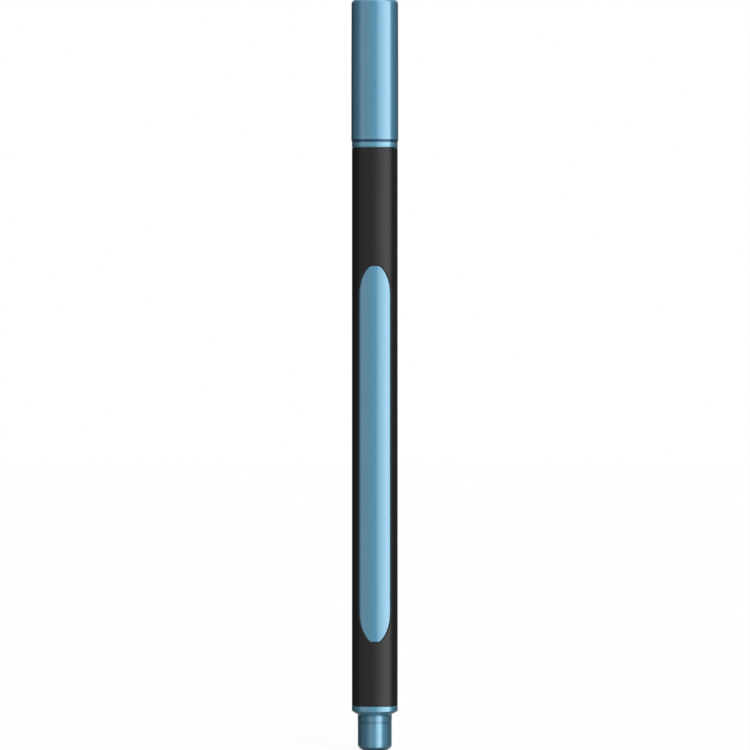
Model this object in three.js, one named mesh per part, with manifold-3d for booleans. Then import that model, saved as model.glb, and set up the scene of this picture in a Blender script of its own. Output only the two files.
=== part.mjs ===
// Three-sided metallic marker, standing on the end of its rear plug, cap upwards.
// Millimetres, +Z from the rear plug to the cap. The origin is the centre of the
// rear plug's end face. One flat side, with its oval window, faces -Y.

import * as THREE from "three";
import { mergeVertices } from "three/addons/utils/BufferGeometryUtils.js";
import Module from "manifold-3d";

// ---------------------------------------------------------------- dimensions
const FACE_STEPS = 6; // steps across each shallow face of the section, even
const CORNER_STEPS = 10; // steps round each corner, even
const STEPS_SMALL = 24; // steps round the inner pieces

// barrel section: three shallow arcs joined by three round corners
const HALF_WIDTH = 4.868; // seen square on to a face
const FACE_RADIUS = 9.2;
const CORNER_RADIUS = 2.7;
const CORNER_OFFSET = (HALF_WIDTH - CORNER_RADIUS) / Math.sin(Math.PI / 3);
const CORNER_START = Math.asin(
  (HALF_WIDTH - CORNER_RADIUS) / (FACE_RADIUS - CORNER_RADIUS),
); // angle from a face's middle where the corner begins
const FACE_OFFSET =
  (FACE_RADIUS - CORNER_RADIUS) * Math.cos(CORNER_START) - CORNER_OFFSET / 2;

// heights of the parting lines
const Z_STUB_GROOVE = 6.18;
const Z_CHAMFER_LOW = 7.72;
const Z_CHAMFER_HIGH = 8.43;
const Z_SLEEVE_LOW = 9.65;
const Z_SLEEVE_HIGH = 128.42;
const Z_COLLAR_HIGH = 129.7;
const Z_LIP = 129.76;
const Z_TOP = 160;
const GAP = 0.05; // running gap between pieces that meet

// rear plug
const STUB_RADIUS = 3.604;
const STUB_END_RADIUS = 1.86; // flat part of the end face
const STUB_END_ROUND = 1.35; // height of the rounding above it
const SEAT_GROWTH = 0.024; // how far the seat ring stands proud of the stub
const FLANGE_GROWTH = 0.014; // how far the flange stands proud of the sleeve
const PLUG_SPIGOT_TOP = 18;

// barrel and sleeve
const SLEEVE_WALL = 0.7;
const BORE_RADIUS = 2.9;
const WINDOW_HALF_WIDTH = 3.355;
const WINDOW_LOW = 23.31;
const WINDOW_HIGH = 103.21;
const WINDOW_END_LOW = 6.9; // length of the lower curved end
const WINDOW_END_HIGH = 6.5; // length of the upper curved end
const WINDOW_CUT = 0.49; // how much of each pointed end its shallow tip replaces
const WINDOW_CROWN = 0.05; // rise of that tip
const PAD_GAP = 0.05; // between the raised pad and the window's edge
const PAD_SINK = 0.05; // how far the pad lies below the sleeve's surface

// front section, nib and ink reservoir
const COLLAR_GROWTH = 0.004; // how far the collar stands proud of the sleeve
const LAND_INSET = 1.15;
const LAND_TOP = 138.6;
const NECK_RADIUS = 2.55;
const NECK_TOP = 147.2;
const NOZZLE_RADIUS = 1.42;
const NOZZLE_TOP = 152.6;
const FRONT_SPIGOT_LOW = 120;
const NIB_RADIUS = 1.0;
const NIB_TOP = 155.2;
const NIB_LOW = 114;
const RESERVOIR_LOW = 18.5;
const RESERVOIR_HIGH = 119.7;

// cap
const CAP_GROWTH_LIP = 0.136; // how far the cap stands proud of the sleeve
const CAP_GROWTH_WAIST = 0.126;
const CAP_GROWTH_TOP = 0.087;
const CAP_WAIST = 147.5; // height from which the cap narrows faster
const CAP_WALL_INSET = 0.92; // inside of the cap, inset from the sleeve's outline
const CAP_CEILING = 158.8;
const CAP_TOP_ROUND = 0.96;
const SEAL_RADIUS = 3.28;
const SEAL_BORE = 2.72;
const SEAL_LOW = 141.2;
const SEAL_TOP = 158.1;

// ------------------------------------------------------------------ helpers
const wasm = await Module();
wasm.setup();

// A point of the three-sided outline, moved outwards by `grow`, whose surface
// faces the direction `phi`, counted from -Y towards +X.
function sidePoint(grow, phi) {
  const third = (2 * Math.PI) / 3;
  const side = Math.round(phi / third);
  const face = Math.abs(phi - side * third) <= CORNER_START + 1e-9;
  const middle = face ? side * third : (Math.floor(phi / third) + 0.5) * third;
  const radius = (face ? FACE_RADIUS : CORNER_RADIUS) + grow;
  const offset = face ? -FACE_OFFSET : CORNER_OFFSET;
  return [
    offset * Math.sin(middle) + radius * Math.sin(phi),
    -offset * Math.cos(middle) - radius * Math.cos(phi),
  ];
}

// The directions round a three-sided piece, from the middle of the -Y face.
const ROUND = [];
for (let side = 0; side < 3; side++) {
  const middle = (side * 2 * Math.PI) / 3;
  const corner = (2 * Math.PI) / 3 - 2 * CORNER_START;
  for (let k = 0; k < FACE_STEPS / 2; k++)
    ROUND.push(middle + (2 * k * CORNER_START) / FACE_STEPS);
  for (let k = 0; k < CORNER_STEPS; k++)
    ROUND.push(middle + CORNER_START + (k * corner) / CORNER_STEPS);
  for (let k = 0; k < FACE_STEPS / 2; k++)
    ROUND.push(
      middle +
        CORNER_START +
        corner +
        (2 * k * CORNER_START) / FACE_STEPS,
    );
}
const STEPS = ROUND.length;

// A turned piece. Each profile point is [half width, z, shape]: shape 1 follows
// the three-sided outline, 0 is round, and values between blend the two.
function turned(profile, steps = STEPS) {
  const points = profile.map(([r, z]) => new THREE.Vector2(r, z));
  const geometry = new THREE.LatheGeometry(points, steps);
  const position = geometry.attributes.position;
  for (let i = 0; i <= steps; i++) {
    const k = i % steps;
    const phi = steps === STEPS ? ROUND[k] : (k / steps) * 2 * Math.PI;
    profile.forEach(([r, z, shape = 0], j) => {
      const [sx, sy] = r > 0 ? sidePoint(r - HALF_WIDTH, phi) : [0, 0];
      const x = (1 - shape) * r * Math.sin(phi) + shape * sx;
      const y = -(1 - shape) * r * Math.cos(phi) + shape * sy;
      position.setXYZ(i * profile.length + j, x, y, z);
    });
  }
  return geometry;
}

// Points of a quarter ellipse from [r0, z0] to [r1, z1], leaving r0 vertically
// when `upright` is true and horizontally when it is false.
function quarter(r0, z0, r1, z1, shape, steps, upright) {
  const out = [];
  for (let k = 1; k < steps; k++) {
    const a = ((k / steps) * Math.PI) / 2;
    const s = Math.sin(a);
    const c = 1 - Math.cos(a);
    out.push([
      r0 + (r1 - r0) * (upright ? c : s),
      z0 + (z1 - z0) * (upright ? s : c),
      shape,
    ]);
  }
  return out;
}

function solid(geometry) {
  const g = geometry.clone();
  g.deleteAttribute("normal");
  g.deleteAttribute("uv");
  const merged = mergeVertices(g, 1e-4);
  return new wasm.Manifold(
    new wasm.Mesh({
      numProp: 3,
      vertProperties: merged.attributes.position.array,
      triVerts: new Uint32Array(merged.index.array),
    }),
  );
}

function geometryOf(manifold) {
  const mesh = manifold.getMesh();
  const g = new THREE.BufferGeometry();
  g.setAttribute(
    "position",
    new THREE.BufferAttribute(new Float32Array(mesh.vertProperties), 3),
  );
  g.setIndex(new THREE.BufferAttribute(new Uint32Array(mesh.triVerts), 1));
  const flat = g.toNonIndexed();
  flat.computeVertexNormals();
  return flat;
}

// Half of a window end's outline: [half width, depth below the tip], from the
// tip, a shallow crown with rounded shoulders, to the straight side.
function windowEnd(length) {
  const power = 0.88;
  const flank = (depth) => {
    const c = Math.max(0, 1 - (depth + WINDOW_CUT) / (length + WINDOW_CUT));
    return WINDOW_HALF_WIDTH * Math.sin(Math.acos(c ** (1 / power))) ** 1.3;
  };
  const shoulder = flank(WINDOW_CROWN);
  const out = [[0, 0]];
  out.push([shoulder - 0.34, WINDOW_CROWN * 0.5]);
  out.push([shoulder - 0.06, WINDOW_CROWN + 0.06]);
  const steps = 8;
  const first = Math.acos((1 - 0.3 / length) ** (1 / power));
  for (let k = 0; k <= steps; k++) {
    const v = first + ((Math.PI / 2 - first) * k) / steps;
    const depth = k === steps ? length : length * (1 - Math.cos(v) ** power);
    out.push([flank(depth), depth]);
  }
  return out;
}

// The straight-sided oval of a window, its outline moved in by `inset`, as a
// prism that points out through the side whose middle faces `turn` from -Y.
function ovalPrism(inset, near, far, turn) {
  const high = windowEnd(WINDOW_END_HIGH).map(([x, d]) => [x, WINDOW_HIGH - d]);
  const low = windowEnd(WINDOW_END_LOW).map(([x, d]) => [x, WINDOW_LOW + d]);
  const right = [...high, ...low.reverse()];
  const left = right.slice(1, -1).map(([x, z]) => [-x, z]);
  const loop = [...right, ...left.reverse()];
  const n = loop.length;
  const moved = loop.map(([x, z], i) => {
    const [ax, az] = loop[(i + n - 1) % n];
    const [bx, bz] = loop[(i + 1) % n];
    const size = Math.hypot(bx - ax, bz - az);
    return new THREE.Vector2(
      x + (inset * (bz - az)) / size,
      z - (inset * (bx - ax)) / size,
    );
  });
  const g = new THREE.ExtrudeGeometry(new THREE.Shape(moved), {
    depth: far - near,
    bevelEnabled: false,
    steps: 1,
  });
  g.translate(0, 0, near);
  g.rotateX(Math.PI / 2);
  g.rotateZ(turn);
  return g;
}

const SIDES = [0, (2 * Math.PI) / 3, (4 * Math.PI) / 3];

const material = (color, roughness, metalness) =>
  new THREE.MeshStandardMaterial({ color, roughness, metalness });

const metallicBlue = () => material(0x4d86a6, 0.32, 0.75);
const softBlack = () => material(0x232325, 0.55, 0);
const fibreWhite = () => material(0xd9dbdc, 0.9, 0);
const naturalPlastic = () => material(0xe4e6e4, 0.45, 0);

const marker = new THREE.Group();
const pen = new THREE.Group();
const cap = new THREE.Group();
marker.add(pen, cap);

function add(group, name, geometry, look) {
  const mesh = new THREE.Mesh(geometry, look);
  mesh.name = name;
  group.add(mesh);
  return mesh;
}

// ---------------------------------------------------------------- rear plug
// round stub, groove, seat ring, chamfer out to the three-sided flange, and a
// hollow spigot that is pressed into the barrel
const FLANGE_HALF_WIDTH = HALF_WIDTH + FLANGE_GROWTH;
add(
  pen,
  "rear_plug",
  turned([
    [0, 0],
    [STUB_END_RADIUS, 0],
    ...quarter(STUB_END_RADIUS, 0, STUB_RADIUS, STUB_END_ROUND, 0, 5, false),
    [STUB_RADIUS, STUB_END_ROUND],
    [STUB_RADIUS, Z_STUB_GROOVE - 0.17],
    [STUB_RADIUS - 0.014, Z_STUB_GROOVE],
    [STUB_RADIUS + SEAT_GROWTH, Z_STUB_GROOVE + 0.23],
    [STUB_RADIUS + SEAT_GROWTH, Z_CHAMFER_LOW - 0.2],
    [STUB_RADIUS + 0.06, Z_CHAMFER_LOW, 0],
    [FLANGE_HALF_WIDTH - 0.08, Z_CHAMFER_HIGH, 1],
    [FLANGE_HALF_WIDTH, Z_CHAMFER_HIGH + 0.3, 1],
    [FLANGE_HALF_WIDTH, Z_SLEEVE_LOW - GAP, 1],
    [BORE_RADIUS - GAP, Z_SLEEVE_LOW - GAP, 0],
    [BORE_RADIUS - GAP, PLUG_SPIGOT_TOP - 0.5],
    [BORE_RADIUS - 0.4, PLUG_SPIGOT_TOP],
    [2.05, PLUG_SPIGOT_TOP],
    [2.05, 3.2],
    [0, 3.2],
  ]),
  metallicBlue(),
);

// ------------------------------------------------------- barrel and its sleeve
const coreHalfWidth = HALF_WIDTH - SLEEVE_WALL - GAP;
let core = solid(
  turned([
    [0, Z_SLEEVE_LOW],
    [coreHalfWidth, Z_SLEEVE_LOW, 1],
    [coreHalfWidth, Z_SLEEVE_HIGH - GAP, 1],
    [0, Z_SLEEVE_HIGH - GAP],
  ]),
);
const padSkin = solid(
  turned([
    [0, WINDOW_LOW - 1],
    [HALF_WIDTH - PAD_SINK, WINDOW_LOW - 1, 1],
    [HALF_WIDTH - PAD_SINK, WINDOW_HIGH + 1, 1],
    [0, WINDOW_HIGH + 1],
  ]),
);
for (const turn of SIDES)
  core = core.add(
    padSkin.intersect(solid(ovalPrism(PAD_GAP, 2.6, 6.5, turn))),
  );
core = core.subtract(
  solid(
    turned(
      [
        [0, Z_SLEEVE_LOW - 1],
        [BORE_RADIUS, Z_SLEEVE_LOW - 1],
        [BORE_RADIUS, Z_SLEEVE_HIGH + 1],
        [0, Z_SLEEVE_HIGH + 1],
      ],
      STEPS,
    ),
  ),
);
add(pen, "core_barrel", geometryOf(core), metallicBlue());

let sleeve = solid(
  turned([
    [HALF_WIDTH, Z_SLEEVE_LOW, 1],
    [HALF_WIDTH, Z_SLEEVE_HIGH - GAP, 1],
    [HALF_WIDTH - SLEEVE_WALL, Z_SLEEVE_HIGH - GAP, 1],
    [HALF_WIDTH - SLEEVE_WALL, Z_SLEEVE_LOW, 1],
    [HALF_WIDTH, Z_SLEEVE_LOW, 1],
  ]),
);
for (const turn of SIDES)
  sleeve = sleeve.subtract(solid(ovalPrism(0, 2.4, 6.5, turn)));
add(pen, "grip_sleeve", geometryOf(sleeve), softBlack());

// ------------------------------------------------------------ front section
// visible collar, three-sided land inside the cap, round sealing neck, cone
// and nozzle, with a hollow spigot pressed into the barrel
const collarHalfWidth = HALF_WIDTH + COLLAR_GROWTH;
const landHalfWidth = HALF_WIDTH - LAND_INSET;
const front = solid(
  turned([
    [1.05, NOZZLE_TOP],
    [1.05, 141],
    [2.0, 139.2],
    [2.0, FRONT_SPIGOT_LOW],
    [BORE_RADIUS - 0.4, FRONT_SPIGOT_LOW],
    [BORE_RADIUS - GAP, FRONT_SPIGOT_LOW + 0.5],
    [BORE_RADIUS - GAP, Z_SLEEVE_HIGH],
    [collarHalfWidth, Z_SLEEVE_HIGH, 1],
    [collarHalfWidth, Z_COLLAR_HIGH - 0.1, 1],
    [collarHalfWidth - 0.07, Z_COLLAR_HIGH, 1],
    [landHalfWidth, Z_COLLAR_HIGH, 1],
    [landHalfWidth, 136.2, 1],
    [landHalfWidth + 0.12, 136.5, 1],
    [landHalfWidth + 0.12, 136.9, 1],
    [landHalfWidth, 137.2, 1],
    [landHalfWidth, LAND_TOP - 0.5, 1],
    [landHalfWidth - 0.4, LAND_TOP, 1],
    [NECK_RADIUS, LAND_TOP + 1.2, 0],
    [NECK_RADIUS, NECK_TOP],
    [NECK_RADIUS - 0.35, NECK_TOP + 0.5],
    [NOZZLE_RADIUS + 0.25, NOZZLE_TOP - 1.2],
    [NOZZLE_RADIUS, NOZZLE_TOP - 0.25],
    [NOZZLE_RADIUS - 0.15, NOZZLE_TOP],
    [1.05, NOZZLE_TOP],
  ]),
);
add(pen, "front_section", geometryOf(front), metallicBlue());

// --------------------------------------------------------------------- nib
add(
  pen,
  "nib",
  turned(
    [
      [0, NIB_LOW],
      [NIB_RADIUS - 0.3, NIB_LOW],
      [NIB_RADIUS, NIB_LOW + 0.6],
      [NIB_RADIUS, NIB_TOP - 1.5],
      ...quarter(NIB_RADIUS, NIB_TOP - 1.5, 0.22, NIB_TOP, 0, 5, true),
      [0.22, NIB_TOP],
      [0, NIB_TOP],
    ],
    STEPS_SMALL,
  ),
  fibreWhite(),
);

// ------------------------------------------------- ink reservoir, inside the bore
const RESERVOIR_RADIUS = 2.55;
const TUBE_CENTRE = 2.14;
const rod = (r, z0, z1, steps = STEPS_SMALL) =>
  turned([[0, z0], [r, z0], [r, z1], [0, z1]], steps);
let reservoir = solid(rod(RESERVOIR_RADIUS, RESERVOIR_LOW, RESERVOIR_HIGH));
reservoir = reservoir
  .subtract(solid(rod(NIB_RADIUS + 0.05, NIB_LOW - 0.4, RESERVOIR_HIGH + 1)))
  .subtract(
    solid(
      rod(0.5, RESERVOIR_LOW - 1, RESERVOIR_HIGH + 1, 12).translate(
        0,
        TUBE_CENTRE,
        0,
      ),
    ),
  );
add(pen, "ink_reservoir", geometryOf(reservoir), fibreWhite());

const tube = (inner, outer, z0, z1, steps) =>
  turned(
    [
      [outer, z0],
      [outer, z1],
      [inner, z1],
      [inner, z0],
      [outer, z0],
    ],
    steps,
  );
add(
  pen,
  "reservoir_film",
  tube(2.6, 2.72, RESERVOIR_LOW - 0.2, RESERVOIR_HIGH + 0.1, STEPS_SMALL),
  naturalPlastic(),
);
const breather = add(
  pen,
  "breather_tube",
  tube(0.2, 0.38, RESERVOIR_LOW - 0.3, RESERVOIR_HIGH + 0.2, 12),
  naturalPlastic(),
);
breather.position.set(0, TUBE_CENTRE - 0.02, 0);

// --------------------------------------------------------------------- cap
// outer shell with air holes in its end, over a round inner cup that seals on
// the front section's neck
const capLipHalf = HALF_WIDTH + CAP_GROWTH_LIP;
const capTopHalf =
  HALF_WIDTH +
  CAP_GROWTH_WAIST +
  ((CAP_GROWTH_TOP - CAP_GROWTH_WAIST) * (Z_TOP - CAP_TOP_ROUND - CAP_WAIST)) /
    (Z_TOP - CAP_WAIST);
const capInner = HALF_WIDTH - CAP_WALL_INSET;
let shell = solid(
  turned([
    [0, Z_LIP],
    [capLipHalf - 0.08, Z_LIP, 1],
    [capLipHalf, Z_LIP + 0.28, 1],
    [HALF_WIDTH + CAP_GROWTH_WAIST, CAP_WAIST, 1],
    [capTopHalf, Z_TOP - CAP_TOP_ROUND, 1],
    ...quarter(
      capTopHalf,
      Z_TOP - CAP_TOP_ROUND,
      capTopHalf - CAP_TOP_ROUND,
      Z_TOP,
      1,
      5,
      true,
    ),
    [capTopHalf - CAP_TOP_ROUND, Z_TOP, 1],
    [0, Z_TOP],
  ]),
);
const capHollow = solid(
  turned([
    [0, Z_LIP - 1],
    [capInner, Z_LIP - 1, 1],
    [capInner, CAP_CEILING, 1],
    [0, CAP_CEILING],
  ]),
);
shell = shell.subtract(capHollow);
for (const turn of SIDES) {
  const hole = rod(0.45, CAP_CEILING - 1, Z_TOP + 1, 12);
  hole.translate(0, 3.3, 0);
  hole.rotateZ(turn);
  shell = shell.subtract(solid(hole));
}
add(cap, "cap_shell", geometryOf(shell), metallicBlue());

add(
  cap,
  "cap_inner_seal",
  turned(
    [
      [0, SEAL_TOP - 1],
      [SEAL_BORE - 0.3, SEAL_TOP - 1],
      [SEAL_BORE, SEAL_TOP - 1.3],
      [SEAL_BORE, SEAL_LOW + 1.6],
      [NECK_RADIUS + 0.07, SEAL_LOW + 1.2],
      [NECK_RADIUS + 0.07, SEAL_LOW + 0.7],
      [SEAL_BORE + 0.1, SEAL_LOW],
      [SEAL_RADIUS - 0.2, SEAL_LOW],
      [SEAL_RADIUS, SEAL_LOW + 0.3],
      [SEAL_RADIUS, SEAL_TOP - 0.4],
      [SEAL_RADIUS - 0.4, SEAL_TOP],
      [0, SEAL_TOP],
    ],
    STEPS_SMALL * 2,
  ),
  naturalPlastic(),
);

export default marker;
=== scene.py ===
import math

import bmesh
import bpy
import numpy as np
from mathutils import Matrix


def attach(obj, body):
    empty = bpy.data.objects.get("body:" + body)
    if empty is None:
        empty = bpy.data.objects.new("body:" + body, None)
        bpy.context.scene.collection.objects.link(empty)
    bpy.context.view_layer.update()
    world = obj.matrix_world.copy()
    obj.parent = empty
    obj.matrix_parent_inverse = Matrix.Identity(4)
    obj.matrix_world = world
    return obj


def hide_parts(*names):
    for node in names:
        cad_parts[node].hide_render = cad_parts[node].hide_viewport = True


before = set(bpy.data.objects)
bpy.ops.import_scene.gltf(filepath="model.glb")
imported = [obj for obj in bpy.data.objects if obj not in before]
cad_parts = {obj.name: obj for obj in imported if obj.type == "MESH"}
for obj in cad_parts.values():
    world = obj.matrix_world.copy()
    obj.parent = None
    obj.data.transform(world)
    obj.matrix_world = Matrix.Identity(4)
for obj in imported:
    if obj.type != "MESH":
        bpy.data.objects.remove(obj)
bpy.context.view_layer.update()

MM = 0.001
TAU = 2 * math.pi
THIRD = TAU / 3

# ------------------------------------------------------------- barrel section
# Three shallow arcs joined by three round corners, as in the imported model. All
# sizes here are in millimetres; build() turns them into metres.
HALF_WIDTH = 4.868
FACE_R = 9.2
CORNER_R = 2.7
CORNER_X = HALF_WIDTH - CORNER_R
CORNER_OFF = CORNER_X / math.sin(math.pi / 3)
START = math.asin(CORNER_X / (FACE_R - CORNER_R))
FACE_OFF = (FACE_R - CORNER_R) * math.cos(START) - CORNER_OFF / 2

Z_SLEEVE_LOW, Z_SLEEVE_HIGH = 9.65, 128.3
WALL = 0.7
WIN_HALF, WIN_LOW, WIN_HIGH = 3.355, 23.31, 103.21
WIN_END_LOW, WIN_END_HIGH = 6.9, 6.5  # length of the curved ends
WIN_CUT = 0.49  # how much of each pointed end its shallow tip replaces


def side_point(grow, phi):
    """Points of the section moved out by grow, where it faces phi from -Y towards +X."""
    phi = np.asarray(phi, float)
    side = np.round(phi / THIRD)
    face = np.abs(phi - side * THIRD) <= START + 1e-9
    middle = np.where(face, side * THIRD, (np.floor(phi / THIRD) + 0.5) * THIRD)
    radius = np.where(face, FACE_R, CORNER_R) + grow
    offset = np.where(face, -FACE_OFF, CORNER_OFF)
    return (
        offset * np.sin(middle) + radius * np.sin(phi),
        -offset * np.cos(middle) - radius * np.cos(phi),
    )


def facing(x, grow):
    """The direction phi at which the front face, moved out by grow, has that x."""
    x = np.asarray(x, float)
    limit = (FACE_R + grow) * math.sin(START)
    on_face = np.arcsin(np.clip(x / (FACE_R + grow), -1, 1))
    s = np.sign(x)
    on_corner = s * np.arcsin(np.clip((np.abs(x) - CORNER_X) / (CORNER_R + grow), -1, 1))
    return np.where(np.abs(x) <= limit, on_face, on_corner)


def directions(face_steps, corner_steps):
    out = []
    for side in range(3):
        middle = side * THIRD
        corner = THIRD - 2 * START
        out += [middle + 2 * k * START / face_steps for k in range(face_steps // 2)]
        out += [middle + START + k * corner / corner_steps for k in range(corner_steps)]
        out += [
            middle + START + corner + 2 * k * START / face_steps
            for k in range(face_steps // 2)
        ]
    return np.array(out)


ROUND = directions(24, 36)
EVEN = np.arange(128) * TAU / 128


# ------------------------------------------------------------------- meshing
def build(name, verts, faces, merge=0.0, sharp=None):
    mesh = bpy.data.meshes.new(name)
    mesh.from_pydata([tuple(c * MM for c in v) for v in verts], [], faces)
    obj = bpy.data.objects.new(name, mesh)
    bpy.context.scene.collection.objects.link(obj)
    bm = bmesh.new()
    bm.from_mesh(mesh)
    if merge:
        bmesh.ops.remove_doubles(bm, verts=bm.verts, dist=merge * MM)
        bmesh.ops.dissolve_degenerate(bm, dist=merge * MM * 0.5, edges=bm.edges)
    bmesh.ops.recalc_face_normals(bm, faces=bm.faces)
    bm.to_mesh(mesh)
    bm.free()
    mesh.polygons.foreach_set("use_smooth", [True] * len(mesh.polygons))
    if sharp is not None:
        mesh.set_sharp_from_angle(angle=math.radians(sharp))
    mesh.update()
    return obj


def rounded(points, closed=False):
    """A profile of [r, z, shape, fillet] with each fillet drawn as an arc."""
    n = len(points)
    out = []

    def guard(a, b):
        """Points close to both ends of a straight stretch, so that its shading stays flat."""
        length = math.hypot(b[0] - a[0], b[1] - a[1])
        g = min(0.06, length / 4)
        if length > 0.08:
            for t in (g / length, 1 - g / length):
                out.append(tuple(p + (q - p) * t for p, q in zip(a, b)))

    arcs = []
    for i, (r, z, w, f) in enumerate(points):
        if f <= 0 or (not closed and i in (0, n - 1)):
            arcs.append([(r, z, w)])
            continue
        a, b = points[i - 1], points[(i + 1) % n]
        la = math.hypot(a[0] - r, a[1] - z)
        lb = math.hypot(b[0] - r, b[1] - z)
        da = ((a[0] - r) / la, (a[1] - z) / la)
        db = ((b[0] - r) / lb, (b[1] - z) / lb)
        cos = max(-1.0, min(1.0, da[0] * db[0] + da[1] * db[1]))
        angle = math.acos(cos)
        if angle > math.pi - 0.02:
            arcs.append([(r, z, w)])
            continue
        t = f / math.tan(angle / 2)
        limit = 0.48 * min(la, lb)
        if t > limit:
            t = limit
            f = t * math.tan(angle / 2)
        bx, bz = da[0] + db[0], da[1] + db[1]
        bl = math.hypot(bx, bz)
        cd = f / math.sin(angle / 2)
        cx, cz = r + bx / bl * cd, z + bz / bl * cd
        p0 = (r + da[0] * t, z + da[1] * t)
        p1 = (r + db[0] * t, z + db[1] * t)
        w0 = w + (a[2] - w) * t / la
        w1 = w + (b[2] - w) * t / lb
        a0 = math.atan2(p0[1] - cz, p0[0] - cx)
        a1 = math.atan2(p1[1] - cz, p1[0] - cx)
        d = (a1 - a0 + math.pi) % TAU - math.pi
        steps = max(3, int(math.ceil(abs(d) / math.radians(9))))
        arcs.append(
            [
                (
                    cx + f * math.cos(a0 + d * k / steps),
                    cz + f * math.sin(a0 + d * k / steps),
                    w0 + (w1 - w0) * k / steps,
                )
                for k in range(steps + 1)
            ]
        )
    for i, arc in enumerate(arcs):
        out += arc
        if i + 1 < n or closed:
            guard(arc[-1], arcs[(i + 1) % n][0])
    return out


def quarter(r, z, dr, dz, steps=9, w=1):
    """A quarter ellipse round the corner r, z: from the end face, dr away, to the side, dz away."""
    return [
        (r - dr + dr * math.sin(a), z + dz - dz * math.cos(a), w, 0)
        for a in np.linspace(0, math.pi / 2, steps + 1)
    ]


def lathe(name, profile, closed=False, phis=ROUND, sharp=35):
    n = len(phis)
    verts, rings, faces = [], [], []
    for r, z, w in profile:
        if r <= 1e-6:
            rings.append([len(verts)])
            verts.append((0.0, 0.0, z))
            continue
        sx, sy = side_point(r - HALF_WIDTH, phis)
        x = (1 - w) * r * np.sin(phis) + w * sx
        y = -(1 - w) * r * np.cos(phis) + w * sy
        rings.append(list(range(len(verts), len(verts) + n)))
        verts += [(float(a), float(b), z) for a, b in zip(x, y)]
    pairs = list(zip(rings, rings[1:])) + ([(rings[-1], rings[0])] if closed else [])
    for a, b in pairs:
        for i in range(n):
            j = (i + 1) % n
            if len(a) == 1 and len(b) == 1:
                continue
            if len(a) == 1:
                faces.append((a[0], b[j], b[i]))
            elif len(b) == 1:
                faces.append((a[i], a[j], b[0]))
            else:
                faces.append((a[i], a[j], b[j], b[i]))
    return build(name, verts, faces, sharp=sharp)


def cut(obj, *cutters):
    """Takes the cutters out of obj and removes them. The cut is made in millimetres."""
    for o in (obj, *cutters):
        o.data.transform(Matrix.Scale(1 / MM, 4))
    for c in cutters:
        m = obj.modifiers.new("cut", "BOOLEAN")
        m.operation = "DIFFERENCE"
        m.solver = "EXACT"
        m.object = c
    bpy.context.view_layer.update()
    dg = bpy.context.evaluated_depsgraph_get()
    mesh = bpy.data.meshes.new_from_object(obj.evaluated_get(dg))
    obj.modifiers.clear()
    old = obj.data
    obj.data = mesh
    bpy.data.meshes.remove(old)
    for c in cutters:
        bpy.data.objects.remove(c)
    bm = bmesh.new()
    bm.from_mesh(mesh)
    bmesh.ops.remove_doubles(bm, verts=bm.verts, dist=0.0005)
    bmesh.ops.dissolve_degenerate(bm, dist=0.0005, edges=bm.edges)
    bm.to_mesh(mesh)
    bm.free()
    mesh.transform(Matrix.Scale(MM, 4))
    mesh.polygons.foreach_set("use_smooth", [True] * len(mesh.polygons))
    mesh.set_sharp_from_angle(angle=math.radians(30))
    mesh.update()


# --------------------------------------------------- the oval windows' outline
N_TIP, N_ROUND, N_FLANK, N_MID = 5, 7, 18, 30


def window_end(length):
    """Half an end's outline: half widths and depths below the tip, from the tip to the side."""
    full = length + WIN_CUT

    def flank(d):
        c = np.clip(1 - (d + WIN_CUT) / full, 0, 1) ** (1 / 0.88)
        return WIN_HALF * np.sin(np.arccos(c)) ** 1.3

    # a shallow crown across the tip, a rounded shoulder, then the long flank
    crown, reach = 0.05, 0.34
    x0 = flank(crown)
    a = np.array([x0 - reach, crown * ((x0 - reach) / x0) ** 2])
    d1 = crown + reach * 0.75
    b = np.array([flank(d1), d1])
    corner = np.array([x0 - 0.02, crown - 0.02])
    t = np.linspace(0, 1, N_ROUND + 1)[:, None]
    shoulder = (1 - t) ** 2 * a + 2 * t * (1 - t) * corner + t**2 * b
    u = np.linspace(0, 1, N_TIP + 1)[:-1]
    tip = np.stack([a[0] * u, crown * (a[0] * u / x0) ** 2], 1)
    v = np.linspace(math.acos((1 - d1 / length) ** (1 / 0.88)), math.pi / 2, N_FLANK + 1)[1:]
    depth = length * (1 - np.cos(v) ** 0.88)
    depth[-1] = length
    side = np.stack([flank(depth), depth], 1)
    out = np.concatenate([tip, shoulder, side])
    return out[:, 0], out[:, 1]


def oval(offset):
    """Half widths and heights of the oval moved out by offset, from its top tip to its lowest."""
    xh, dh = window_end(WIN_END_HIGH)
    xl, dl = window_end(WIN_END_LOW)
    middle = np.linspace(WIN_HIGH - WIN_END_HIGH, WIN_LOW + WIN_END_LOW, N_MID + 1)[1:-1]
    x = np.concatenate([xh, np.full(N_MID - 1, WIN_HALF), xl[::-1]])
    z = np.concatenate([WIN_HIGH - dh, middle, (WIN_LOW + dl)[::-1]])
    # each point moves along the outline's normal
    dx, dz = np.gradient(x), np.gradient(z)
    dx[0], dz[0], dx[-1], dz[-1] = 1.0, 0.0, -1.0, 0.0
    size = np.hypot(dx, dz)
    x, z = x - offset * dz / size, z + offset * dx / size
    x[0] = x[-1] = 0.0
    return x, z


def grid_faces(base, rows, cols):
    return [
        (
            base + i * cols + j,
            base + i * cols + j + 1,
            base + (i + 1) * cols + j + 1,
            base + (i + 1) * cols + j,
        )
        for i in range(rows - 1)
        for j in range(cols - 1)
    ]


def turn(x, y, a):
    return x * math.cos(a) - y * math.sin(a), x * math.sin(a) + y * math.cos(a)


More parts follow.
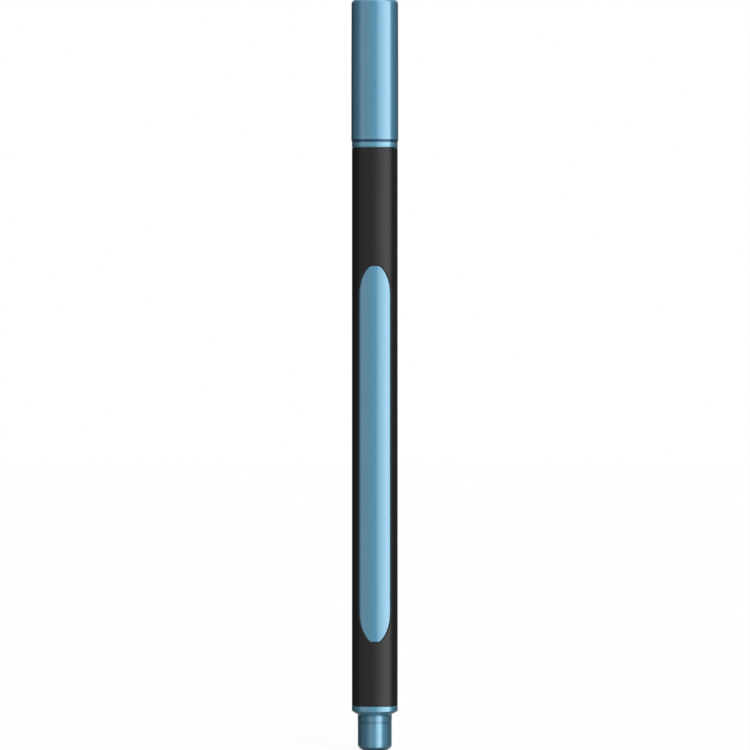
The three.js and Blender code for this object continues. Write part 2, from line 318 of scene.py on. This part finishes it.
def make_sleeve():
    verts, faces = [], []
    cols = 61
    rim_out = 0.17

    def add_rows(rows):
        """rows: list of (z, grow, edge), edge the direction where the strip starts."""
        for k in range(3):
            base = len(verts)
            for z, grow, edge in rows:
                phis = np.linspace(edge, THIRD - edge, cols) + k * THIRD
                phis = np.where(phis >= TAU, phis - TAU, phis)
                x, y = side_point(grow, phis)
                verts.extend((float(a), float(b), float(z)) for a, b in zip(x, y))
            faces.extend(grid_faces(base, len(rows), cols))

    b = 0.09
    arc = [
        (1 - math.cos(a), math.sin(a)) for a in np.linspace(0, math.pi / 2, 7)
    ]
    for depth, offset in ((0.0, rim_out), (WALL, 0.0)):
        xw, zw = oval(offset)
        edge = facing(xw, -depth)
        window = list(zip(zw, [-depth] * len(zw), edge))
        high = Z_SLEEVE_HIGH - (b if depth == 0 else 0)
        low = Z_SLEEVE_LOW + (b if depth == 0 else 0)
        above = [
            (z, -depth, 0.0)
            for z in np.concatenate(
                [np.linspace(high, high - 0.1, 2), np.linspace(high - 2, zw[0], 9)]
            )
        ]
        below = [
            (z, -depth, 0.0)
            for z in np.concatenate(
                [np.linspace(zw[-1], low + 2, 7), np.linspace(low + 0.1, low, 2)]
            )
        ]
        add_rows(above)
        add_rows(window)
        add_rows(below)
    top = [(Z_SLEEVE_HIGH - b + b * s, -b * c, 0.0) for c, s in arc]
    top += [(Z_SLEEVE_HIGH, -b - 0.05, 0.0), (Z_SLEEVE_HIGH, -WALL, 0.0)]
    bottom = [(Z_SLEEVE_LOW + b - b * s, -b * c, 0.0) for c, s in arc]
    bottom += [(Z_SLEEVE_LOW, -b - 0.05, 0.0), (Z_SLEEVE_LOW, -WALL, 0.0)]
    add_rows(top)
    add_rows(bottom)

    # the rounded rim of each window, from the outer surface down to the inner one
    loops = [
        (rim_out * (1 - math.sin(a)), rim_out * (1 - math.cos(a)))
        for a in np.linspace(0, math.pi / 2, 7)
    ]
    loops += [(0.0, rim_out + 0.05), (0.0, WALL)]
    for k in range(3):
        for s in (1, -1):
            base = len(verts)
            for offset, depth in loops:
                xw, zw = oval(offset)
                x, y = side_point(-depth, facing(xw, -depth))
                x, y = turn(x * s, y, k * THIRD)
                verts.extend(
                    (float(p), float(q), float(r)) for p, q, r in zip(x, y, zw)
                )
            faces.extend(grid_faces(base, len(loops), len(zw)))
    return build("sleeve", verts, faces, merge=0.002, sharp=50)


def make_pads(gap, sink, depth):
    """The three raised ovals that fill the windows, each a closed body."""
    verts, faces = [], []
    cols = 49
    b = 0.08
    loops = [
        (-gap - b * (1 - math.sin(a)), sink + b * (1 - math.cos(a)))
        for a in np.linspace(0, math.pi / 2, 7)
    ]
    loops += [(-gap, sink + b + 0.05), (-gap, depth)]
    share = np.linspace(-1, 1, cols)
    for k in range(3):
        for offset, inset in (loops[0], loops[-1]):
            base = len(verts)
            xw, zw = oval(offset)
            for x0, z0 in zip(xw, zw):
                x, y = side_point(-inset, facing(x0 * share, -inset))
                x, y = turn(x, y, k * THIRD)
                verts.extend((float(p), float(q), float(z0)) for p, q in zip(x, y))
            faces.extend(grid_faces(base, len(zw), cols))
        for s in (1, -1):
            base = len(verts)
            for offset, inset in loops:
                xw, zw = oval(offset)
                x, y = side_point(-inset, facing(xw, -inset))
                x, y = turn(x * s, y, k * THIRD)
                verts.extend(
                    (float(p), float(q), float(r)) for p, q, r in zip(x, y, zw)
                )
            faces.extend(grid_faces(base, len(loops), len(zw)))
    return build("barrel_pads", verts, faces, merge=0.002, sharp=50)


# ----------------------------------------------------------------- materials
def tree(name):
    m = bpy.data.materials.new(name)
    m.use_nodes = True
    nt = m.node_tree
    for n in list(nt.nodes):
        nt.nodes.remove(n)
    out = nt.nodes.new("ShaderNodeOutputMaterial")
    bsdf = nt.nodes.new("ShaderNodeBsdfPrincipled")
    nt.links.new(bsdf.outputs[0], out.inputs[0])
    coord = nt.nodes.new("ShaderNodeTexCoord")
    return m, nt, bsdf, coord


def node(nt, kind, inputs=None, **props):
    n = nt.nodes.new(kind)
    for k, v in props.items():
        setattr(n, k, v)
    for k, v in (inputs or {}).items():
        if isinstance(v, bpy.types.NodeSocket):
            nt.links.new(v, n.inputs[k])
        else:
            n.inputs[k].default_value = v
    return n


def scaled(nt, coord, scale):
    """Object coordinates times scale, one number or three."""
    if not hasattr(scale, "__len__"):
        scale = (scale,) * 3
    return node(
        nt, "ShaderNodeMapping", {0: coord.outputs["Object"], "Scale": scale}
    ).outputs[0]


def noise(nt, vector, detail=2.0, rough=0.5, scale=1.0):
    return node(
        nt,
        "ShaderNodeTexNoise",
        {"Vector": vector, "Scale": scale, "Detail": detail, "Roughness": rough},
    ).outputs[0]


def ranged(nt, value, lo, hi, a=0.0, b=1.0):
    return node(
        nt,
        "ShaderNodeMapRange",
        {0: value, 1: a, 2: b, 3: lo, 4: hi},
    ).outputs[0]


def mixed(nt, factor, a, b):
    n = node(nt, "ShaderNodeMix", {0: factor}, data_type="RGBA")
    for i, v in ((6, a), (7, b)):
        if isinstance(v, bpy.types.NodeSocket):
            nt.links.new(v, n.inputs[i])
        else:
            n.inputs[i].default_value = (*v, 1.0)
    return n.outputs[2]


BLUE = (0.125, 0.384, 0.562)
BLUE_DEEP = (0.118, 0.364, 0.537)
BLUE_LIGHT = (0.14, 0.416, 0.605)


def metallic_blue(name, painted_bands=(), painted_light_gain=(1.0, 1.0, 1.0), matt_end=False):
    """Each band: heights in mm between which painted shade darkens the colour, standing in for the
    shade in gaps and under chamfers; how dark; and how soft.
    A band below 0 is a painted highlight that lightens the colour instead. matt_end leaves the flat
    end as the mould's matt floor made it."""
    m, nt, bsdf, coord = tree(name)
    flakes = node(
        nt,
        "ShaderNodeTexVoronoi",
        {"Vector": scaled(nt, coord, 9000.0), "Scale": 1.0},
    )
    sparkle = node(
        nt, "ShaderNodeSeparateColor", {0: flakes.outputs["Color"]}
    ).outputs[0]
    cloud = noise(nt, scaled(nt, coord, (420.0, 420.0, 60.0)), 3.0)
    base = mixed(nt, ranged(nt, cloud, 0.32, 0.68, 0.3, 0.7), BLUE_DEEP, BLUE)
    base = mixed(nt, ranged(nt, sparkle, 0.0, 0.5, 0.55, 1.0), base, BLUE_LIGHT)
    # painted light: this factor lightens a part's copy of the blue so that it looks more brightly
    # lit
    base = node(nt, "ShaderNodeVectorMath", {0: base, 1: painted_light_gain}, operation="MULTIPLY").outputs[0]
    height = node(nt, "ShaderNodeSeparateXYZ", {0: coord.outputs["Object"]}).outputs["Z"]
    normal = node(nt, "ShaderNodeNewGeometry").outputs["Normal"]
    tilt = node(nt, "ShaderNodeSeparateXYZ", {0: normal}).outputs["Z"]
    tilt = node(nt, "ShaderNodeMath", {0: tilt}, operation="ABSOLUTE").outputs[0]
    upright = ranged(nt, tilt, 1.0, 0.0, 0.85, 0.97)
    coat = None
    # painted shade and painted highlight: each band darkens or lightens the colour between two
    # heights; the darker bands only on the sides, not on faces turned up or down, and there they
    # also thin the coat's reflection
    for z0, z1, dark, soft in painted_bands:
        low = ranged(nt, height, 0.0, 1.0, (z0 - soft) * MM, (z0 + soft) * MM)
        high = ranged(nt, height, 0.0, 1.0, (z1 + soft) * MM, (z1 - soft) * MM)
        painted_band_mask = node(nt, "ShaderNodeMath", {0: low, 1: high}, operation="MULTIPLY").outputs[0]
        if dark > 0.5:
            painted_band_mask = node(nt, "ShaderNodeMath", {0: painted_band_mask, 1: upright}, operation="MULTIPLY").outputs[0]
        keep = (1 - 1.12 * dark, 1 - dark, 1 - 0.85 * dark)
        base = mixed(
            nt,
            painted_band_mask,
            base,
            node(nt, "ShaderNodeVectorMath", {0: base, 1: keep}, operation="MULTIPLY").outputs[0],
        )
        if dark > 0.5:
            coat = ranged(nt, painted_band_mask, 0.965, 0.4)
    nt.links.new(base, bsdf.inputs["Base Color"])
    fine = noise(nt, scaled(nt, coord, 5200.0), 2.0)
    rough = ranged(nt, noise(nt, scaled(nt, coord, 900.0), 3.0), 0.558, 0.588, 0.3, 0.7)
    if matt_end:
        end = ranged(nt, tilt, 0.0, 0.2, 0.88, 0.96)
        rough = node(nt, "ShaderNodeMath", {0: rough, 1: end}, operation="ADD").outputs[0]
        shine = ranged(nt, tilt, 1.0, 0.06, 0.88, 0.96)
        coat = node(nt, "ShaderNodeMath", {0: coat, 1: shine}, operation="MULTIPLY").outputs[0]
    nt.links.new(rough, bsdf.inputs["Roughness"])
    bump = node(
        nt,
        "ShaderNodeBump",
        {"Height": fine, "Strength": 0.12, "Distance": 0.00002},
    )
    nt.links.new(bump.outputs[0], bsdf.inputs["Normal"])
    bsdf.inputs["Metallic"].default_value = 0.93
    bsdf.inputs["IOR"].default_value = 1.5
    bsdf.inputs["Coat Weight"].default_value = 0.965
    if coat:
        nt.links.new(coat, bsdf.inputs["Coat Weight"])
    bsdf.inputs["Coat IOR"].default_value = 1.8
    bsdf.inputs["Coat Roughness"].default_value = 0.11
    return m


def soft_black(name):
    m, nt, bsdf, coord = tree(name)
    cloud = noise(nt, scaled(nt, coord, (260.0, 260.0, 90.0)), 3.0)
    base = mixed(
        nt, ranged(nt, cloud, 0.0, 1.0, 0.3, 0.7), (0.0072, 0.0072, 0.0073), (0.0084, 0.0084, 0.0085)
    )
    nt.links.new(base, bsdf.inputs["Base Color"])
    grain = noise(nt, scaled(nt, coord, 6500.0), 3.0, 0.6)
    rough = ranged(nt, noise(nt, scaled(nt, coord, 1500.0), 3.0), 0.39, 0.45, 0.3, 0.7)
    nt.links.new(rough, bsdf.inputs["Roughness"])
    bump = node(
        nt,
        "ShaderNodeBump",
        {"Height": grain, "Strength": 0.22, "Distance": 0.00003},
    )
    nt.links.new(bump.outputs[0], bsdf.inputs["Normal"])
    bsdf.inputs["Specular IOR Level"].default_value = 0.46
    return m


def nib_fibre(name):
    m, nt, bsdf, coord = tree(name)
    streak = noise(nt, scaled(nt, coord, (7000.0, 7000.0, 500.0)), 4.0, 0.6)
    base = mixed(
        nt, ranged(nt, streak, 0.0, 1.0, 0.3, 0.7), (0.05, 0.15, 0.24), (0.2, 0.36, 0.46)
    )
    nt.links.new(base, bsdf.inputs["Base Color"])
    bump = node(
        nt, "ShaderNodeBump", {"Height": streak, "Strength": 0.5, "Distance": 0.00005}
    )
    nt.links.new(bump.outputs[0], bsdf.inputs["Normal"])
    nt.links.new(ranged(nt, streak, 0.55, 0.9, 0.3, 0.7), bsdf.inputs["Roughness"])
    bsdf.inputs["Metallic"].default_value = 0.25
    return m


def waxy(name, light, dark):
    m, nt, bsdf, coord = tree(name)
    cloud = noise(nt, scaled(nt, coord, 700.0), 4.0)
    nt.links.new(
        mixed(nt, ranged(nt, cloud, 0.0, 1.0, 0.3, 0.7), dark, light),
        bsdf.inputs["Base Color"],
    )
    nt.links.new(ranged(nt, cloud, 0.34, 0.46, 0.3, 0.7), bsdf.inputs["Roughness"])
    bump = node(
        nt,
        "ShaderNodeBump",
        {
            "Height": noise(nt, scaled(nt, coord, 3500.0), 2.0),
            "Strength": 0.1,
            "Distance": 0.00003,
        },
    )
    nt.links.new(bump.outputs[0], bsdf.inputs["Normal"])
    bsdf.inputs["Subsurface Weight"].default_value = 0.25
    bsdf.inputs["Subsurface Radius"].default_value = (0.001, 0.001, 0.001)
    bsdf.inputs["Subsurface Scale"].default_value = 0.5
    return m


def give(obj, material, body, slot, *nodes):
    obj.data.materials.clear()
    obj.data.materials.append(material)
    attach(obj, body)
    if nodes:
        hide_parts(*nodes)
    return obj


# painted shade along the cap's lip over the gap to the collar, and a painted highlight on the lip's
# rounding just above it
blue_cap = metallic_blue(
    "cap_metallic_blue",
    [(129.6, 130.14, 0.66, 0.12), (130.3, 130.65, -0.08, 0.1)],
    matt_end=True,
)
# painted shade on the collar's top under the cap's lip and at its foot against the sleeve; the
# factor paints the collar lighter
blue_front = metallic_blue(
    "front_metallic_blue",
    [(129.48, 129.95, 0.7, 0.06), (128.44, 128.76, 0.2, 0.1)],
    (1.28, 1.17, 1.08),
)
blue_barrel = metallic_blue("barrel_metallic_blue")
# painted shade in the stub's shallow groove, just under the flange's chamfer and round the end's
# lower edge; painted highlights on the chamfer and the flange; the factor paints the plug slightly
# lighter
blue_plug = metallic_blue(
    "plug_metallic_blue",
    [
        (5.84, 6.42, 0.27, 0.1), (7.42, 7.66, 0.47, 0.12), (7.86, 8.4, -0.52, 0.1),
        (8.5, 9.8, -0.04, 0.1), (-0.3, 0.64, 0.36, 0.2),
    ],
    (1.06, 1.03, 1.0),
)
black = soft_black("sleeve_soft_black")
nib_look = nib_fibre("nib_fibre")
seal_look = waxy("seal_plastic", (0.78, 0.8, 0.79), (0.7, 0.72, 0.71))
fibre_look = nib_fibre("reservoir_fibre")
film_look = waxy("film_plastic", (0.8, 0.83, 0.85), (0.72, 0.76, 0.8))

# ------------------------------------------------------------------- the cap
Z_COLLAR, Z_LIP, Z_TOP = 129.7, 129.76, 160.0
LIP_HALF, MID_HALF, TOP_HALF = HALF_WIDTH + 0.136, HALF_WIDTH + 0.126, HALF_WIDTH + 0.087
CAP_IN = HALF_WIDTH - 0.92
cap_shell = lathe(
    "cap_outer",
    rounded(
        [
            (0, 158.8, 0, 0),
            (CAP_IN, 158.8, 1, 0.3),
            (CAP_IN, Z_LIP, 1, 0.12),
            (LIP_HALF - 0.08, Z_LIP, 1, 0.03),
            (LIP_HALF, Z_LIP + 0.28, 1, 0.15),
            (MID_HALF, 147.5, 1, 900.0),
            (TOP_HALF, Z_TOP, 1, 0.96),
            (0, Z_TOP, 0, 0),
        ]
    ),
)
vents = []
for k in range(3):
    c = lathe(
        f"vent_{k}",
        [(0, 158.0, 0), (0.44, 158.0, 0), (0.44, 159.9, 0), (0.62, 160.08, 0), (0, 160.08, 0)],
        phis=np.arange(40) * TAU / 40,
    )
    x, y = turn(0.0, 3.3, k * THIRD)
    c.data.transform(Matrix.Translation((x * MM, y * MM, 0)))
    vents.append(c)
cut(cap_shell, *vents)
give(cap_shell, blue_cap, "cap", "metallic_blue_cap", "cap_shell")

seal = lathe(
    "cap_seal",
    rounded(
        [
            (0, 157.1, 0, 0),
            (2.72, 157.1, 0, 0.4),
            (2.72, 142.8, 0, 0.1),
            (2.62, 142.4, 0, 0.1),
            (2.62, 141.9, 0, 0.1),
            (2.82, 141.2, 0, 0.08),
            (3.28, 141.2, 0, 0.2),
            (3.28, 158.1, 0, 0.4),
            (0, 158.1, 0, 0),
        ]
    ),
    phis=EVEN,
)
give(seal, seal_look, "cap", "natural_plastic", "cap_inner_seal")

# ------------------------------------------------------ front section and nib
LAND = HALF_WIDTH - 1.15
front = lathe(
    "front_nozzle",
    rounded(
        [
            (1.05, 152.6, 0, 0.06),
            (1.05, 141.0, 0, 0.2),
            (2.0, 139.2, 0, 0.3),
            (2.0, 120.0, 0, 0.1),
            (2.5, 120.0, 0, 0.1),
            (2.85, 120.5, 0, 0.2),
            (2.85, 128.32, 0, 0),
            (HALF_WIDTH + 0.004, 128.32, 1, 0.22),
            *quarter(HALF_WIDTH + 0.004, Z_COLLAR, 0.07, -0.1)[::-1],
            (LAND, Z_COLLAR, 1, 0.12),
            (LAND, 136.15, 1, 0.15),
            (LAND + 0.12, 136.45, 1, 0.12),
            (LAND + 0.12, 136.95, 1, 0.12),
            (LAND, 137.25, 1, 0.15),
            (LAND, 138.35, 1, 0.25),
            (LAND - 0.45, 138.75, 1, 0.2),
            (2.55, 139.9, 0, 0.35),
            (2.55, 147.2, 0, 0.3),
            (2.2, 147.7, 0, 0.4),
            (1.72, 151.2, 0, 0.3),
            (1.42, 152.4, 0, 0.15),
            (1.3, 152.6, 0, 0.06),
        ],
        closed=True,
    ),
    closed=True,
)
give(front, blue_front, "pen", "metallic_blue_front", "front_section")

nib = lathe(
    "nib_tip",
    rounded([(0, 114.0, 0, 0), (0.8, 114.0, 0, 0.1), (1.0, 114.6, 0, 0.2), (1.0, 153.6, 0, 0)])
    + [
        (0.2 + 0.8 * math.cos(a), 153.7 + 1.5 * math.sin(a), 0)
        for a in np.linspace(0, math.pi / 2, 16)
    ]
    + [(0.1, 155.2, 0), (0, 155.2, 0)],
    phis=np.arange(64) * TAU / 64,
    sharp=60,
)
give(nib, nib_look, "pen", "nib_fibre", "nib")

# ---------------------------------------------------------- barrel and sleeve
core = lathe(
    "barrel_tube",
    rounded(
        [
            (HALF_WIDTH - 0.75, 9.65, 1, 0.1),
            (HALF_WIDTH - 0.75, 128.29, 1, 0.1),
            (2.9, 128.29, 0, 0.1),
            (2.9, 9.65, 0, 0.1),
        ],
        closed=True,
    ),
    closed=True,
)
give(core, blue_barrel, "pen", "metallic_blue_barrel", "core_barrel")
pads = make_pads(gap=0.05, sink=0.05, depth=0.85)
give(pads, blue_barrel, "pen", "metallic_blue_barrel")
sleeve = make_sleeve()
give(sleeve, black, "pen", "soft_black", "grip_sleeve")

# ------------------------------------------------------------------ rear plug
FLANGE = HALF_WIDTH + 0.014
end_round = [
    (1.86 + 1.744 * math.sin(a), 1.35 * (1 - math.cos(a)), 0)
    for a in np.linspace(0, math.pi / 2, 28)
]
# the rounding is a little fuller than an ellipse just below the straight part
end_round = [
    (min(r + 0.051 * math.exp(-(((z - 0.78) / 0.25) ** 2)), 3.604), z, w) for r, z, w in end_round
]
plug = lathe(
    "rear_stub",
    [(0, 0, 0), (1.8, 0, 0)]
    + end_round
    + rounded(
        [
            (3.604, 1.5, 0, 0),
            (3.604, 5.85, 0, 0.12),
            (3.588, 5.95, 0, 0.1),
            (3.588, 6.12, 0, 0.1),
            (3.628, 6.29, 0, 0.12),
            (3.628, 7.3, 0, 0.2),
            (3.635, 7.72, 0, 0.35),
            (FLANGE - 0.05, 8.47, 1, 0.26),
            (FLANGE, 8.8, 1, 0.5),
            (FLANGE, 9.61, 1, 0.1),
            (2.85, 9.61, 0, 0.05),
            (2.85, 17.5, 0, 0.2),
            (2.5, 18.0, 0, 0.1),
            (2.05, 18.0, 0, 0.1),
            (2.05, 3.2, 0, 0.3),
            (0, 3.2, 0, 0),
        ]
    ),
    sharp=40,
)
give(plug, blue_plug, "pen", "metallic_blue_plug", "rear_plug")

# the ink reservoir, its film and the breather tube lie inside the barrel
for name, look in (
    ("ink_reservoir", fibre_look),
    ("reservoir_film", film_look),
    ("breather_tube", seal_look),
):
    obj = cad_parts[name]
    obj.data.materials.clear()
    obj.data.materials.append(look)

# -------------------------------------------------------------------- camera
SCALE = 4.6905  # the photograph's pixels to a millimetre, at the marker's axis
DISTANCE = 920.0
FRAME = 750 / SCALE
camera_data = bpy.data.cameras.new("camera")
camera = bpy.data.objects.new("camera", camera_data)
bpy.context.scene.collection.objects.link(camera)
camera_data.sensor_width = 36.0
camera_data.lens = 36.0 * DISTANCE / FRAME
camera_data.clip_start = 0.05
camera_data.clip_end = 20.0
# the marker is turned a little about its axis in the photograph, and so stands the camera
TURN = math.radians(0.4)
ASIDE = 0.048
camera.location = (
    (ASIDE * math.cos(TURN) - DISTANCE * math.sin(TURN)) * MM,
    (-ASIDE * math.sin(TURN) - DISTANCE * math.cos(TURN)) * MM,
    80.02 * MM,
)
camera.rotation_euler = (math.pi / 2, 0, -TURN)
bpy.context.scene.camera = camera

# --------------------------------------------------- floor and studio light
floor_mesh = bpy.data.meshes.new("floor")
bm = bmesh.new()
bmesh.ops.create_circle(bm, cap_ends=True, segments=96, radius=3.0)
bm.to_mesh(floor_mesh)
bm.free()
floor = bpy.data.objects.new("floor", floor_mesh)
bpy.context.scene.collection.objects.link(floor)
floor.visible_glossy = False
floor.visible_diffuse = False
fm = bpy.data.materials.new("pale_floor")
fm.use_nodes = True
nt = fm.node_tree
for n in list(nt.nodes):
    nt.nodes.remove(n)
pale = node(nt, "ShaderNodeBsdfDiffuse", {"Color": (0.15, 0.15, 0.15, 1)})
glow = node(nt, "ShaderNodeEmission", {"Color": (1, 1, 1, 1), "Strength": 0.88})
both = node(nt, "ShaderNodeAddShader", {0: pale.outputs[0], 1: glow.outputs[0]})
out = node(nt, "ShaderNodeOutputMaterial", {0: both.outputs[0]})
floor_mesh.materials.append(fm)

world = bpy.data.worlds.new("studio")
bpy.context.scene.world = world
world.use_nodes = True
nt = world.node_tree
for n in list(nt.nodes):
    nt.nodes.remove(n)
coord = node(nt, "ShaderNodeTexCoord")
xyz = node(nt, "ShaderNodeSeparateXYZ", {0: coord.outputs["Generated"]})
minus_y = node(nt, "ShaderNodeMath", {0: xyz.outputs["Y"], 1: -1.0}, operation="MULTIPLY")
azimuth = node(
    nt, "ShaderNodeMath", {0: xyz.outputs["X"], 1: minus_y.outputs[0]}, operation="ARCTAN2"
)


def curve(value, stops, lo, hi):
    """A grey ramp through [position, brightness] for a value from lo to hi, and its peak."""
    peak = max(v for _, v in stops)
    r = node(nt, "ShaderNodeValToRGB", {0: ranged(nt, value, 0.0, 1.0, lo, hi)})
    while len(r.color_ramp.elements) > 1:
        r.color_ramp.elements.remove(r.color_ramp.elements[-1])
    for i, (at, v) in enumerate(stops):
        t = (at - lo) / (hi - lo)
        e = r.color_ramp.elements[0] if i == 0 else r.color_ramp.elements.new(t)
        e.position = t
        e.color = (v / peak, v / peak, v / peak, 1)
    return r.outputs[0], peak


def times(a, b):
    return node(nt, "ShaderNodeMath", {0: a, 1: b}, operation="MULTIPLY").outputs[0]


def plus(a, b):
    return node(nt, "ShaderNodeMath", {0: a, 1: b}, operation="ADD").outputs[0]


# soft boxes round the marker: [degrees from the camera's side towards the right,
# brightness], and how far they reach up and down: [sine of the height, share]
degrees = plus(times(azimuth.outputs[0], 180 / math.pi), math.degrees(TURN))
BOXES = [
    (-110, 0.0), (-101, 0.06), (-95, 0.38), (-87, 0.12), (-71, 0.13), (-63, 0.04), (-56, 0.27),
    (-41, 0.19), (-37, 0.8), (-34, 0.93), (-26, 0.75), (-19, 0.515), (-11, 0.454), (-4, 0.2),
    (6, 0.08), (8.5, 1.27), (11, 1.45), (19, 2.02), (26, 2.6), (31, 3.35), (34, 3.65), (37, 3.45),
    (41, 3.2), (45, 3.1), (47.5, 2.4), (49.5, 0.1), (72, 0.08), (80, 0.2), (101, 0.3), (112, 0.0),
]
BACK = [
    (-180, 0.02), (-130, 0.02), (-120, 0.0), (120, 0.0), (130, 0.14), (170, 0.14), (180, 0.02)
]
HEIGHTS = [
    (-1.0, 0.02), (-0.9, 0.04), (-0.72, 0.42), (-0.45, 1.0), (0.8, 1.0), (0.92, 0.5), (1.0, 0.5)
]
# boxes behind the marker, above and below its height, and a light high straight behind it
BEHIND = [
    (-180, 0.3), (-160, 0.35), (-144, 0.6), (-128, 1.2), (-123, 0.2), (-106, 0.0),
    (106, 0.0), (120, 0.3), (126, 1.2), (150, 0.9), (162, 0.3), (180, 0.3),
]
BEHIND_HEIGHTS = [
    (-1.0, 0.0), (-0.6, 0.0), (-0.42, 0.6), (-0.26, 0.7), (-0.17, 0.0),
    (0.17, 0.0), (0.26, 0.7), (0.5, 0.7), (1.0, 0.3),
]
BACK_LIGHT = [(-180, 9.0), (-175.5, 9.0), (-173, 0.0), (173, 0.0), (175.5, 9.0), (180, 9.0)]
BACK_LIGHT_HEIGHTS = [(-1.0, 0.0), (0.17, 0.0), (0.21, 1.0), (0.42, 1.0), (0.55, 0.0)]
LOW_STRIP = [(-180, 0.0), (-166, 0.0), (-163, 3.0), (-153, 3.0), (-149, 0.0)]
LOW_STRIP_HEIGHTS = [(-1.0, 0.0), (-0.33, 0.0), (-0.3, 1.0), (-0.21, 1.0), (-0.19, 0.0)]
round_part, round_peak = curve(degrees, BOXES, -180, 180)
back_part, back_peak = curve(degrees, BACK, -180, 180)
high_part, high_peak = curve(xyz.outputs["Z"], HEIGHTS, -1, 1)
round_light = plus(times(round_part, round_peak), times(back_part, back_peak))
boxes_light = times(times(round_light, high_part), high_peak)
behind_part, behind_top = curve(degrees, BEHIND, -180, 180)
behind_high, behind_peak = curve(xyz.outputs["Z"], BEHIND_HEIGHTS, -1, 1)
behind_light = times(times(behind_part, behind_high), behind_peak * behind_top)
for stops, heights in ((BACK_LIGHT, BACK_LIGHT_HEIGHTS), (LOW_STRIP, LOW_STRIP_HEIGHTS)):
    part, peak = curve(degrees, stops, -180, 180)
    high, _ = curve(xyz.outputs["Z"], heights, -1, 1)
    behind_light = plus(behind_light, times(times(part, high), peak))

# an overhead box and a dim floor
OVERHEAD = [
    (-1.0, 0.12), (-0.6, 0.12), (-0.52, 0.12), (-0.48, 0.0), (0.7, 0.0), (0.82, 0.6), (1.0, 0.45)
]
over_part, over_peak = curve(xyz.outputs["Z"], OVERHEAD, -1, 1)
light = plus(plus(boxes_light, behind_light), times(over_part, over_peak))
boxes = node(nt, "ShaderNodeBackground", {"Color": (1, 1, 1, 1), "Strength": light})
white = node(nt, "ShaderNodeBackground", {"Color": (1, 1, 1, 1), "Strength": 1.0})
path = node(nt, "ShaderNodeLightPath")
mix = node(
    nt,
    "ShaderNodeMixShader",
    {0: path.outputs["Is Camera Ray"], 1: boxes.outputs[0], 2: white.outputs[0]},
)
node(nt, "ShaderNodeOutputWorld", {0: mix.outputs[0]})

bpy.context.scene.view_settings.view_transform = "Standard"
bpy.context.scene.view_settings.look = "None"
